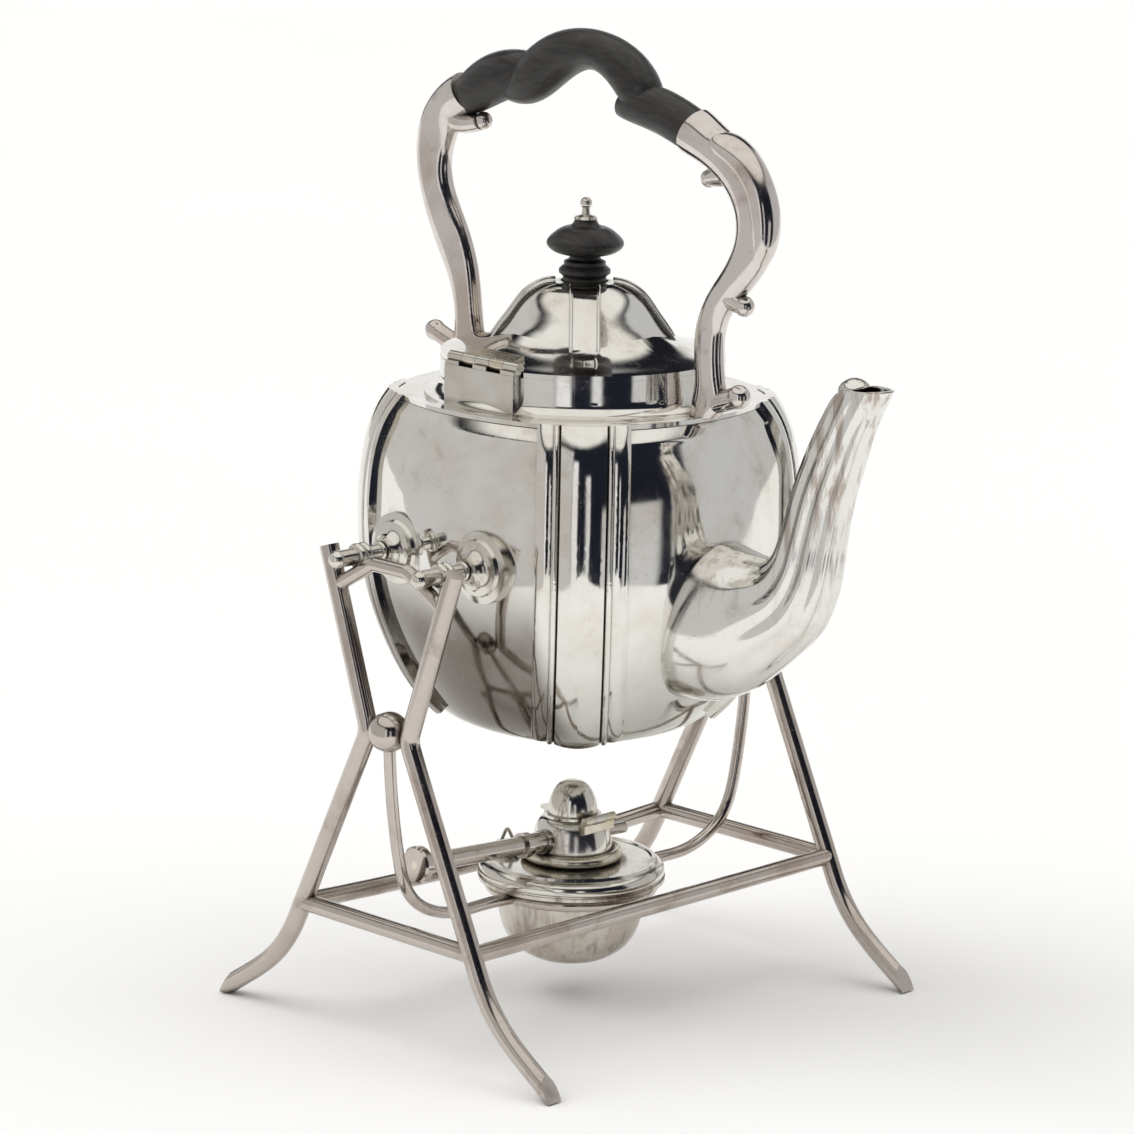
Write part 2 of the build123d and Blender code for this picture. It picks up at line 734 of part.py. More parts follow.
with BuildPart() as lid_skirt:
    with BuildSketch(Plane.XZ):
        with BuildLine():
            Polyline(
                skirt_top,
                (0, skirt_top[1]),
                (0, neck_top - plug_depth),
                (plug_r, neck_top - plug_depth),
                (plug_r, neck_top),
                (lid_r, neck_top),
                (lid_r, neck_top + lid_edge),
            )
            Spline((lid_r, neck_top + lid_edge), *skirt_curve, skirt_top, tangents=((-1, 0.2), (-1, 0.7)))
        make_face()
    revolve(axis=Axis.Z)

with BuildPart() as lid_hollow:
    add(dome_form_of(lid_wall).part)
    with BuildSketch(Plane.XZ):
        with BuildLine():
            under = inside_of(((lid_r, neck_top + lid_edge), *skirt_curve), lid_wall)[1:]
            Polyline(
                under[-1],
                (0, under[-1][1]),
                (0, neck_top - plug_depth - 1),
                (plug_r - lid_wall, neck_top - plug_depth - 1),
                (plug_r - lid_wall, under[0][1] - 0.6),
                under[0],
            )
            Spline(*under)
        make_face()
    revolve(axis=Axis.Z)
    with BuildSketch(Plane.XY.offset(dome_dish_z - lid_wall)):
        Circle(lid_r)
    extrude(amount=10, mode=Mode.SUBTRACT)

with BuildPart() as lid:
    add(lid_skirt.part)
    add(dome_form_of(0.0).part)
    for corner in range(4):
        add(dome_band(45 + 90 * corner).part)
    with BuildSketch(Plane.XY.offset(dome_dish_z)):
        Circle(dish_r)
    extrude(amount=5, mode=Mode.SUBTRACT)
    add(lid_hollow.part, mode=Mode.SUBTRACT)
    with BuildSketch(Plane.XY.offset(neck_top - plug_depth - 1)):
        with Locations((0, -rim_flat)):
            Rectangle(2 * hinge_half + 1, 20, align=(Align.CENTER, Align.MAX))
    extrude(amount=20, mode=Mode.SUBTRACT)
    with BuildSketch(Plane.XY.offset(dome_dish_z - 5)):
        Circle(stud_r + pin_clearance)
    extrude(amount=10, mode=Mode.SUBTRACT)
save(lid, "lid")

# ---- hinge --------------------------------------------------------------------------------------
knuckle_pitch = 2 * hinge_half / knuckles
housing_top = hinge_z - hinge_r - knuckle_gap


def knuckle(number):
    """One rolled knuckle of the lid hinge, counted along X."""
    start = -hinge_half + number * knuckle_pitch + knuckle_gap / 2
    with BuildPart() as roll:
        with BuildSketch(Plane(origin=(start, hinge_y, hinge_z), z_dir=(1, 0, 0))):
            Circle(hinge_r)
            Circle(hinge_pin_r + pin_clearance, mode=Mode.SUBTRACT)
        extrude(amount=knuckle_pitch - knuckle_gap)
    return roll


with BuildPart() as hinge_housing:
    with BuildSketch(Plane.XY.offset(ledge_z)):
        with BuildLine():
            Line((-hinge_half, -housing_face), (hinge_half, -housing_face))
            for sx in (1, -1):
                ThreePointArc(
                    (sx * hinge_half, -housing_face),
                    (sx * cheek_dip[0], -cheek_dip[1]),
                    (sx * cheek_root[0], -cheek_root[1]),
                )
            Line((cheek_root[0], -cheek_root[1]), (-cheek_root[0], -cheek_root[1]))
        make_face()
    extrude(amount=housing_top - ledge_z)
    with BuildSketch(Plane.XY.offset(rim_z)):
        Circle(neck_r)
    extrude(amount=neck_top + 0.3 - rim_z, mode=Mode.SUBTRACT)
    with BuildSketch(Plane.XY.offset(neck_top)):
        with Locations((0, hinge_y)):
            Rectangle(3 * hinge_half, 20, align=(Align.CENTER, Align.MIN))
    extrude(amount=10, mode=Mode.SUBTRACT)
    for number in range(0, knuckles, 2):
        add(knuckle(number).part)
        start = -hinge_half + number * knuckle_pitch + knuckle_gap / 2
        with BuildSketch(Plane.XY.offset(housing_top - 1.0)):
            with Locations((start, hinge_y - web_depth)):
                Rectangle(knuckle_pitch - knuckle_gap, web_depth, align=(Align.MIN, Align.MIN))
        extrude(amount=1.0 + knuckle_gap + 0.6 * hinge_r)
    with BuildSketch(Plane(origin=(-hinge_half, hinge_y, hinge_z), z_dir=(1, 0, 0))):
        Circle(hinge_pin_r + pin_clearance)
    extrude(amount=2 * hinge_half, mode=Mode.SUBTRACT)
    add(shoulder_neck.part, mode=Mode.SUBTRACT)
save(hinge_housing, "hinge_housing")

with BuildPart() as hinge_leaf:
    with BuildSketch(Plane(origin=(-leaf_half, 0, 0), x_dir=(0, 1, 0), z_dir=(1, 0, 0))):
        with BuildLine():
            Polyline(
                (hinge_y + hinge_r + 0.4, hinge_z - leaf_half_t),
                (hinge_y + hinge_r + 0.4, hinge_z + leaf_half_t),
                (-leaf_reach, hinge_z + 2.6),
                (-leaf_reach, hinge_z + 0.4),
                close=True,
            )
        make_face()
    extrude(amount=2 * leaf_half)
    for number in range(1, knuckles, 2):
        add(knuckle(number).part)
        start = -hinge_half + number * knuckle_pitch + knuckle_gap / 2
        with BuildSketch(Plane(origin=(start, 0, 0), x_dir=(0, 1, 0), z_dir=(1, 0, 0))):
            with Locations((hinge_y + hinge_pin_r + 0.5, hinge_z)):
                Rectangle(2.2, 1.4, align=(Align.MIN, Align.CENTER))
        extrude(amount=knuckle_pitch - knuckle_gap)
    add(lid.part, mode=Mode.SUBTRACT)
save(hinge_leaf, "hinge_leaf")

with BuildPart() as hinge_pin:
    with BuildSketch(Plane(origin=(-hinge_half, hinge_y, hinge_z), z_dir=(1, 0, 0))):
        Circle(hinge_pin_r)
    extrude(amount=2 * hinge_half)
save(hinge_pin, "hinge_pin")

# ---- finial -------------------------------------------------------------------------------------
with BuildPart() as finial_knob:
    with BuildSketch(Plane.XZ):
        with BuildLine():
            stem = [(r, dome_dish_z + rise) for r, rise in (*finial_foot, *finial_neck)]
            bun = [(r, finial_top - drop) for r, drop in finial_bun]
            bore_r = stud_r + pin_clearance
            Polyline(*reversed(stem), (bore_r, dome_dish_z), (bore_r, finial_top), bun[-1])
            Spline(stem[-1], *bun, tangents=((1, 0.2), (-0.3, 1)))
        make_face()
    revolve(axis=Axis.Z)
save(finial_knob, "finial_knob")

with BuildPart() as finial_stud:
    with BuildSketch(Plane.XZ):
        with BuildLine():
            Polyline(
                (0, stud_ball_z),
                (0, dome_dish_z - stud_tail),
                (stud_r, dome_dish_z - stud_tail),
                (stud_r, finial_top),
                *[(r, finial_top + rise) for r, rise in stud_cap],
                *[(r, stud_ball_z + rise) for r, rise in stud_neck],
                close=True,
            )
        make_face()
        with Locations((0, stud_ball_z)):
            Circle(stud_ball_r)
        with Locations((0, finial_top)):
            Rectangle(20, 20, align=(Align.MAX, Align.CENTER), mode=Mode.SUBTRACT)
    revolve(axis=Axis.Z)
save(finial_stud, "finial_stud")

with BuildPart() as finial_nut:
    with BuildSketch(Plane.XY.offset(dome_dish_z - lid_wall - nut_t)):
        RegularPolygon(nut_r, 6)
        Circle(stud_r + pin_clearance, mode=Mode.SUBTRACT)
    extrude(amount=nut_t)
save(finial_nut, "finial_nut")


# ---- handle -------------------------------------------------------------------------------------
def swept_ovals(stations):
    """Solid lofted through upright ovals laid along a line in the plane of the handle."""
    with BuildPart() as limb:
        for x, z, half_w, half_t, lean in stations:
            ahead = Vector(sin(radians(lean)), 0, cos(radians(lean)))
            with BuildSketch(Plane(origin=(x, 0, z), x_dir=(0, 1, 0), z_dir=ahead)):
                Ellipse(half_t, half_w)
        loft()
    return limb


with BuildPart() as handle_grip:
    for lobe in (grip_rear, grip_middle, grip_front):
        add(swept_ovals(lobe).part)
save(handle_grip, "handle_grip")

for name, stations, leaves, curls, ball_at in (
    ("handle_bracket_rear", rear_bracket, rear_leaves, rear_curls, rear_scroll),
    ("handle_bracket_front", front_bracket, front_leaves, front_curls, front_scroll),
):
    with BuildPart() as bracket:
        add(swept_ovals(stations).part)
        for leaf in leaves:
            add(swept_ovals(leaf).part)
        for x, z, radius in (*curls, ball_at):
            with Locations((x, 0, z)):
                Sphere(radius)
        inward = (-1 if ball_at[0] > 0 else 1, 0, -0.35)
        with BuildSketch(Plane(origin=(ball_at[0], 0, ball_at[1]), z_dir=inward)):
            Circle(0.9 * ball_at[2])
        extrude(amount=12)
        split(bisect_by=Plane.XY.offset(ledge_z), keep=Keep.TOP)
        add(shoulder_neck.part, mode=Mode.SUBTRACT)
        add(handle_grip.part, mode=Mode.SUBTRACT)
    save(bracket, name)

# ---- burner -------------------------------------------------------------------------------------
cup_outside = (
    (9.0, lamp_floor),
    (14.6, 14.4),
    (19.8, 18.4),
    (23.2, 25.0),
    (lamp_cup_r, 34.0),
    (lamp_cup_r, lamp_rim_z),
)
with BuildPart() as burner_reservoir:
    for inset in (0.0, lamp_wall):
        skin_points = inside_of(cup_outside, inset)
        with BuildSketch(Plane.XZ):
            with BuildLine():
                Line((0, lamp_floor + inset), (skin_points[0][0], lamp_floor + inset))
                Spline(
                    (skin_points[0][0], lamp_floor + inset),
                    *skin_points[1:],
                    tangents=((1, 0), (0, 1)),
                )
                Polyline(skin_points[-1], (0, lamp_rim_z), (0, lamp_floor + inset))
            make_face()
        revolve(axis=Axis.Z, mode=Mode.SUBTRACT if inset else Mode.ADD)
    with BuildSketch(Plane.XY.offset(lamp_rim_z)):
        Circle(lamp_flange_r)
        Circle(lamp_cup_r - lamp_wall, mode=Mode.SUBTRACT)
    extrude(amount=flange_t)
save(burner_reservoir, "burner_reservoir")

lid_base_z = lamp_rim_z + flange_t
plate_z = lamp_top_z - plate_dish
with BuildPart() as burner_top:
    with BuildSketch(Plane.XZ):
        with BuildLine():
            Polyline(
                (lamp_flange_r - 0.4, lid_base_z),
                (lamp_flange_r - 0.4, lid_base_z + 1.2),
                (lamp_top_r + 1.4, lid_base_z + 2.6),
                (lamp_top_r, lamp_top_z),
                (lamp_top_r - rim_bead, lamp_top_z),
                (lamp_top_r - 1.5 * rim_bead, plate_z),
                (dome_r - 1.0, plate_z),
                (dome_r - 1.0, plate_z - lamp_wall),
                (lamp_top_r - 1.4, plate_z - lamp_wall),
                (lamp_top_r - 0.4, lid_base_z + 1.6),
                (lamp_cup_r, lid_base_z),
                close=True,
            )
        make_face()
    revolve(axis=Axis.Z)
    with BuildSketch(Plane.XY.offset(lamp_top_z - 3)):
        with Locations(filler_at):
            Circle(filler_r)
    extrude(amount=6, mode=Mode.SUBTRACT)
save(burner_top, "burner_top")

spindle_at = Plane(
    origin=(0, 0, spindle_root_z),
    x_dir=(1, 0, 0),
    z_dir=(0, -cos(radians(spindle_tilt)), sin(radians(spindle_tilt))),
)


def along_spindle(y):
    """Plane square to the spindle at the given distance out from the middle of the burner."""
    return spindle_at.offset(-y)


dome_side = (
    (dome_r, plate_z + 3.2),
    (12.9, plate_z + 8.3),
    (11.2, burner_dome_top - 1.6),
    (dome_top_r, burner_dome_top),
)


def dome_solid(inset):
    """Wick-holder dome, filled, or its hollow when inset."""
    side_points = inside_of(dome_side, inset)
    top_z = burner_dome_top - inset
    with BuildPart() as form:
        with BuildSketch(Plane.XZ):
            with BuildLine():
                Polyline(
                    (side_points[-1][0], top_z),
                    (0, top_z),
                    (0, plate_z),
                    (dome_foot_r - inset, plate_z),
                    (dome_foot_r - inset, plate_z + 1.0),
                    side_points[0],
                )
                Spline(*side_points[:-1], (side_points[-1][0], top_z), tangents=((0, 1), (-1, 0.15)))
            make_face()
        revolve(axis=Axis.Z)
    return form


dome_form = dome_solid(0.0)
with BuildPart() as burner_collar:
    with BuildSketch(Plane.XZ):
        with Locations((collar_r, plate_z + collar_tube)):
            Circle(collar_tube)
    revolve(axis=Axis.Z)
    add(dome_form.part, mode=Mode.SUBTRACT)
save(burner_collar, "burner_collar")

wick_x = wheel_r + wick_play + wick_half_t
wick_slot = (2 * (wick_half_t + wick_play), 2 * (wick_half_w + wick_play))
tube_outside = (wick_slot[0] + 2 * wick_tube_wall, wick_slot[1] + 2 * wick_tube_wall)
with BuildPart() as wick_dome:
    add(dome_form.part)
    add(dome_solid(dome_wall).part, mode=Mode.SUBTRACT)
    with BuildSketch(along_spindle(0)):
        Circle(bearing_r)
    extrude(amount=20, both=True, mode=Mode.SUBTRACT)
    with BuildSketch(Plane.XY.offset(burner_dome_top - 3)):
        with Locations((wick_x, 0)):
            Rectangle(*tube_outside)
    extrude(amount=6, mode=Mode.SUBTRACT)
save(wick_dome, "wick_dome")

with BuildPart() as wick_tube:
    with BuildSketch(Plane.XY.offset(plate_z - 6)):
        with Locations((wick_x, 0)):
            Rectangle(*tube_outside)
            Rectangle(*wick_slot, mode=Mode.SUBTRACT)
    extrude(amount=burner_dome_top - plate_z + 6)
    with BuildSketch(Plane.XY.offset(burner_dome_top - dome_wall)):
        with Locations((wick_x, 0)):
            Rectangle(tube_outside[0] + 1.6, tube_outside[1] + 1.6)
            Rectangle(*wick_slot, mode=Mode.SUBTRACT)
    extrude(amount=-0.6)
    with BuildSketch(Plane(origin=(0, 0, spindle_root_z), x_dir=(0, 1, 0), z_dir=(1, 0, 0))):
        Rectangle(2 * (wheel_y + wheel_t + 0.4), 2 * (wheel_r + 0.5))
    extrude(amount=wick_x - wick_half_t - wick_play, mode=Mode.SUBTRACT)
save(wick_tube, "wick_tube")

with BuildPart() as wick:
    with BuildSketch(Plane.XY.offset(wick_foot)):
        with Locations((wick_x, 0)):
            RectangleRounded(2 * wick_half_t, 2 * wick_half_w, 0.5)
    extrude(amount=wick_top - wick_foot)
save(wick, "wick")


def spindle_ring(start_y, end_y, radius, bore):
    """Round piece along the spindle between two distances from the middle; negative is the knob side."""
    with BuildPart() as ring:
        with BuildSketch(along_spindle(start_y)):
            Circle(radius)
            if bore:
                Circle(bore, mode=Mode.SUBTRACT)
        extrude(amount=start_y - end_y)
    return ring


with BuildPart() as spindle_tube:
    add(spindle_ring(-8, gland_y, gland_r, bearing_r).part)
    add(spindle_ring(gland_y, ferrule_y, tube_r + 0.5, bearing_r).part)
    add(spindle_ring(ferrule_y, hub_y, tube_r, bearing_r).part)
    add(dome_form.part, mode=Mode.SUBTRACT)
    add(burner_collar.part, mode=Mode.SUBTRACT)
save(spindle_tube, "spindle_tube")

with BuildPart() as spindle_ferrule:
    add(spindle_ring(ferrule_y + 1.0, ferrule_y - 1.6, ferrule_r, tube_r).part)
    add(spindle_tube.part, mode=Mode.SUBTRACT)
save(spindle_ferrule, "spindle_ferrule")

with BuildPart() as spindle_end_bush:
    add(spindle_ring(far_bush_y, 8, far_bush_r, bearing_r).part)
    add(dome_form.part, mode=Mode.SUBTRACT)
save(spindle_end_bush, "spindle_end_bush")

with BuildPart() as hub:
    with BuildSketch(along_spindle(hub_y - hub_gap)):
        Circle(tube_r + 0.2)
    with BuildSketch(along_spindle(knob_near_y)):
        Circle(hub_r)
    loft()

with BuildPart() as wick_spindle:
    add(spindle_ring(far_bush_y, knob_far_y, spindle_r, 0).part)
    for wheel_end in (wheel_y + wheel_t, -wheel_y):
        add(spindle_ring(wheel_end, wheel_end - wheel_t, wheel_r, 0).part)
    add(hub.part)
save(wick_spindle, "wick_spindle")

with BuildPart() as spindle_knob:
    add(spindle_ring(knob_near_y, knob_far_y, knob_r, 0).part)
    chamfer(spindle_knob.edges().filter_by(GeomType.CIRCLE), 0.7)
    add(wick_spindle.part, mode=Mode.SUBTRACT)
save(spindle_knob, "spindle_knob")

# ---- snuffer ------------------------------------------------------------------------------------
cap_hinge_at = Location((cap_hinge_x, cap_hinge_z))
with BuildPart() as snuffer_hinge_base:
    with BuildSketch(Plane.XZ):
        with Locations(cap_hinge_at):
            Circle(cap_hinge_r)
        with Locations((cap_leaf_x, cap_hinge_z)):
            Rectangle(cap_leaf_t, cap_leaf_h, align=(Align.CENTER, Align.MAX))
    extrude(amount=cap_hinge_half, both=True)
    with BuildSketch(Plane.XZ):
        with Locations(cap_hinge_at):
            Rectangle(4 * cap_hinge_r, 2 * (cap_hinge_r + knuckle_gap))
    extrude(amount=cap_knuckle_half + knuckle_gap, both=True, mode=Mode.SUBTRACT)
    with BuildSketch(Plane.XZ):
        with Locations(cap_hinge_at):
            Circle(hinge_pin_r + pin_clearance)
    extrude(amount=cap_hinge_half, both=True, mode=Mode.SUBTRACT)
    add(dome_form.part, mode=Mode.SUBTRACT)
save(snuffer_hinge_base, "snuffer_hinge_base")

with BuildPart() as snuffer_hinge_pin:
    with BuildSketch(Plane.XZ):
        with Locations(cap_hinge_at):
            Circle(hinge_pin_r)
    extrude(amount=cap_hinge_half, both=True)
save(snuffer_hinge_pin, "snuffer_hinge_pin")

cap_side = (
    (cap_r, burner_dome_top),
    (cap_r - 0.5, burner_dome_top + 5.0),
    (cap_r - 2.6, cap_top - 2.4),
    (0, cap_top),
)
with BuildPart() as snuffer_cap:
    with BuildSketch(Plane.XY.offset(burner_dome_top)):
        Circle(cap_flange_r)
        with Locations((-cap_flange_r, 0)):
            RectangleRounded(2 * cap_tab, cap_tab_w, cap_tab_w / 3)
    extrude(amount=cap_flange_t)
    for inset in (0.0, cap_wall):
        skin_points = inside_of(cap_side, inset)
        with BuildSketch(Plane.XZ):
            with BuildLine():
                Line((0, burner_dome_top), (skin_points[0][0], burner_dome_top))
                Spline(
                    (skin_points[0][0], burner_dome_top),
                    *skin_points[1:-1],
                    (0, cap_top - inset),
                    tangents=((0, 1), (-1, 0)),
                )
                Line((0, cap_top - inset), (0, burner_dome_top))
            make_face()
        revolve(axis=Axis.Z, mode=Mode.SUBTRACT if inset else Mode.ADD)
    with BuildSketch(Plane.XZ):
        with Locations((cap_hinge_x, burner_dome_top + knuckle_gap)):
            Rectangle(cap_hinge_x - cap_flange_r + 0.6, cap_flange_t, align=(Align.MAX, Align.MIN))
        with Locations(cap_hinge_at):
            Circle(cap_hinge_r)
            Circle(hinge_pin_r + pin_clearance, mode=Mode.SUBTRACT)
    extrude(amount=cap_knuckle_half, both=True)
save(snuffer_cap, "snuffer_cap")

# ---- filler -------------------------------------------------------------------------------------
with BuildPart() as filler_neck:
    with BuildSketch(Plane.XY.offset(plate_z - lamp_wall - 2)):
        with Locations(filler_at):
            Circle(filler_r)
            Circle(filler_bore, mode=Mode.SUBTRACT)
    extrude(amount=lamp_wall + 2 + filler_neck_h)
save(filler_neck, "filler_neck")

with BuildPart() as filler_cap:
    with BuildSketch(Plane.XY.offset(plate_z + filler_neck_h)):
        with Locations(filler_at):
            Circle(filler_r + 0.5)
    extrude(amount=filler_cap_h)
    chamfer(filler_cap.faces().sort_by(Axis.Z)[-1].edges(), 0.5)
    with BuildSketch(Plane.XY.offset(plate_z + filler_neck_h)):
        with Locations(filler_at):
            Circle(filler_bore - stopper_play)
    extrude(amount=-filler_neck_h - 2)
save(filler_cap, "filler_cap")

with BuildPart() as filler_loop:
    loop_z = plate_z + filler_neck_h + filler_cap_h
    with BuildLine(Plane(origin=(*filler_at, loop_z), x_dir=(0, 1, 0), z_dir=(1, 0, 0))) as wire:
        FilletPolyline((-loop_half, 0), (0, loop_rise), (loop_half, 0), radius=1.0)
    with BuildSketch(Plane(origin=wire.line @ 0, z_dir=wire.line % 0)):
        Circle(loop_wire)
    sweep()
    split(bisect_by=Plane.XY.offset(loop_z), keep=Keep.TOP)
save(filler_loop, "filler_loop")
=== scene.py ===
from math import cos, pi, radians, sin

import bmesh
import bpy
from mathutils import Matrix, Vector


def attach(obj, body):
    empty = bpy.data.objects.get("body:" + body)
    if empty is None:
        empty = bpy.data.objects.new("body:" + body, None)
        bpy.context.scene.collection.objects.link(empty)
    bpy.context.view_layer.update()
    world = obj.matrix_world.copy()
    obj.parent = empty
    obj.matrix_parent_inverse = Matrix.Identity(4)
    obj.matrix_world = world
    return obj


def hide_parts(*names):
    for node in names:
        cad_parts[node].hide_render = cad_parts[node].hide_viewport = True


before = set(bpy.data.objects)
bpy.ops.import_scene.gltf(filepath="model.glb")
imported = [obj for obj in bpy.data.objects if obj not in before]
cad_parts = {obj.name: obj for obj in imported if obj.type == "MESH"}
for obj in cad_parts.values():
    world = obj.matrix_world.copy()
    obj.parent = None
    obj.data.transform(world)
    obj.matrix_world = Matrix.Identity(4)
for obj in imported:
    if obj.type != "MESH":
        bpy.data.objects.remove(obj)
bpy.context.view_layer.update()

# ---- camera, at the photograph's angle, in degrees and metres ------------------------------------
VIEW_AZIMUTH = 44.160
VIEW_ELEVATION = 12.751
VIEW_ROLL = 1.251
VIEW_DISTANCE = 1.5578
VIEW_SIDE = -0.00364
STAND_MIDDLE_X = -0.0275      # the stand's middle, which the camera was fitted to, from the origin
VIEW_HEIGHT = 0.14584
FOCAL_MM = 150.25
SENSOR_MM = 36.0
FARTHEST_SEEN = 50.0


def make_camera():
    """Camera that looks at the middle of the kettle the way the photograph does."""
    azimuth, elevation, roll = radians(VIEW_AZIMUTH), radians(VIEW_ELEVATION), radians(VIEW_ROLL)
    back = Vector((sin(azimuth) * cos(elevation), -cos(azimuth) * cos(elevation), sin(elevation)))
    level = Vector((cos(azimuth), sin(azimuth), 0))
    upright = back.cross(level)
    right = level * cos(roll) + upright * sin(roll)
    up = upright * cos(roll) - level * sin(roll)
    place = level * VIEW_SIDE + Vector((STAND_MIDDLE_X, 0, VIEW_HEIGHT)) + back * VIEW_DISTANCE
    data = bpy.data.cameras.new("view")
    data.lens = FOCAL_MM
    data.sensor_width = SENSOR_MM
    data.clip_end = FARTHEST_SEEN
    camera = bpy.data.objects.new("view", data)
    bpy.context.collection.objects.link(camera)
    turn = Matrix((right, up, back)).transposed().to_4x4()
    camera.matrix_world = Matrix.Translation(place) @ turn
    bpy.context.scene.camera = camera


# ---- node helpers -------------------------------------------------------------------------------
class Graph:
    """A material's or the world's node tree, with short ways to add and join nodes."""

    def __init__(self, tree):
        self.tree = tree
        tree.nodes.clear()

    def add(self, kind, **values):
        """New node; values are its properties or the names of its input sockets."""
        node = self.tree.nodes.new(kind)
        for name, value in values.items():
            if name.startswith("in_"):
                socket = node.inputs[name[3:].replace("_", " ")]
                self.feed(socket, value)
            else:
                setattr(node, name, value)
        return node

    def feed(self, socket, value):
        """Join an output to the socket, or set the socket to a plain value."""
        if isinstance(value, bpy.types.NodeSocket):
            self.tree.links.new(value, socket)
        else:
            socket.default_value = value

    def math(self, operation, first, second=0.0, clamp=False):
        """One arithmetic step on two numbers."""
        node = self.add("ShaderNodeMath", operation=operation, use_clamp=clamp)
        self.feed(node.inputs[0], first)
        self.feed(node.inputs[1], second)
        return node.outputs[0]

    def span(self, value, low, high, to_low=0.0, to_high=1.0):
        """Smooth step of a value from one span to another."""
        node = self.add("ShaderNodeMapRange", interpolation_type="SMOOTHSTEP")
        self.feed(node.inputs["Value"], value)
        node.inputs["From Min"].default_value = low
        node.inputs["From Max"].default_value = high
        node.inputs["To Min"].default_value = to_low
        node.inputs["To Max"].default_value = to_high
        return node.outputs["Result"]

    def mix(self, factor, first, second):
        """Mix of two colours."""
        node = self.add("ShaderNodeMix", data_type="RGBA", blend_type="MIX")
        self.feed(node.inputs[0], factor)
        self.feed(node.inputs[6], first)
        self.feed(node.inputs[7], second)
        return node.outputs[2]

    def noise(self, where, scale, detail=3.0, rough=0.5, distort=0.0):
        """Noise value at a point."""
        node = self.add("ShaderNodeTexNoise")
        self.feed(node.inputs["Vector"], where)
        node.inputs["Scale"].default_value = scale
        node.inputs["Detail"].default_value = detail
        node.inputs["Roughness"].default_value = rough
        node.inputs["Distortion"].default_value = distort
        return node.outputs["Fac"]

    def stretched(self, where, scale):
        """The point with each axis scaled by its own amount, so that a noise there runs in lines."""
        node = self.add("ShaderNodeMapping")
        self.feed(node.inputs["Vector"], where)
        node.inputs["Scale"].default_value = scale
        return node.outputs["Vector"]


def rgb(red, green, blue):
    """Colour with full alpha."""
    return (red, green, blue, 1.0)


def new_material(name):
    """New node material, with its graph, its surface shader and the object's own coordinates."""
    material = bpy.data.materials.new(name)
    material.use_nodes = True
    graph = Graph(material.node_tree)
    surface = graph.add("ShaderNodeBsdfPrincipled")
    output = graph.add("ShaderNodeOutputMaterial")
    graph.tree.links.new(surface.outputs[0], output.inputs["Surface"])
    where = graph.add("ShaderNodeTexCoord").outputs["Object"]
    return material, graph, surface, where


# ---- materials ----------------------------------------------------------------------------------
TABLE_REFLECTION_TOP = 0.150          # height under which the body is painted with the table's greenish-grey reflection
TABLE_REFLECTION_FOOT = 0.100
TABLE_REFLECTION_SHARE = 0.7
SHADE_HEIGHTS = (0.162, 0.130)     # painted shade on the hinge side's lower half, between these heights
SHADE_SIDES = (-0.026, -0.046)
SHADE_ENDS = (0.013, 0.005)
RUN_HEIGHTS = (0.135, 0.185)       # the spout's dark runs come in between these heights
# painted shade in corners and creases: how far the occlusion reaches, its near-black colour and largest
# share
CORNER_REACH = 0.0035
CORNER_SHADE = (0.085, 0.070, 0.055, 1.0)
CORNER_SHADE_SHARE = 0.75
# noises: patches in a metre, detail, roughness, distortion
DRIFT = (19.0, 4.0, 0.6, 0.4)
CLOUD = (70.0, 5.0, 0.65, 0.2)
SPECKS = (800.0, 2.0, 0.5)
HAIRS = (1.0, 2.0, 0.6)
RUNS = (1.0, 3.0, 0.6)
DENTS = (40.0, 1.0, 0.4)
DRIFT_SHARE, CLOUD_SHARE = 0.65, 0.35
# where a noise begins and ends to count, and the shares it then has where those aren't 0 and 1
STAIN_SPAN = (0.57, 0.72)
SPECK_SPAN = (0.66, 0.74, 0.0, 0.30)
RUN_SPAN = (0.48, 0.66)
HAIR_SPAN = (0.60, 0.74)
ROUGH_SPAN = (0.35, 0.75)
CORNER_SPAN = (0.80, 0.30)
UNEVEN_SPAN = (0.25, 0.6, 0.75, 1.0)
ROUGH_RANGE = 0.08
CORNER_ROUGHNESS = 0.3
# stretches along the three axes
RISING_HAIRS = (900.0, 900.0, 40.0)
LEVEL_HAIRS = (60.0, 1100.0, 900.0)
RUN_LINES = (330.0, 330.0, 16.0)
HAIR_HEIGHT = 0.010           # share of a dent's height
DENT_STRENGTH = 0.10
DENT_HEIGHT = 0.0016


def hinge_side_shade(graph, height, drift):
    """How much of the painted shade patch, low on the hinge side, a point has."""
    foot = graph.span(height.outputs["Z"], *SHADE_HEIGHTS)
    hinge_side = graph.span(height.outputs["Y"], *SHADE_SIDES)
    far_end = graph.span(height.outputs["X"], *SHADE_ENDS)
    patch = graph.math("MULTIPLY", graph.math("MULTIPLY", foot, hinge_side), far_end)
    uneven = graph.span(drift, *UNEVEN_SPAN)
    return graph.math("MULTIPLY", patch, uneven)


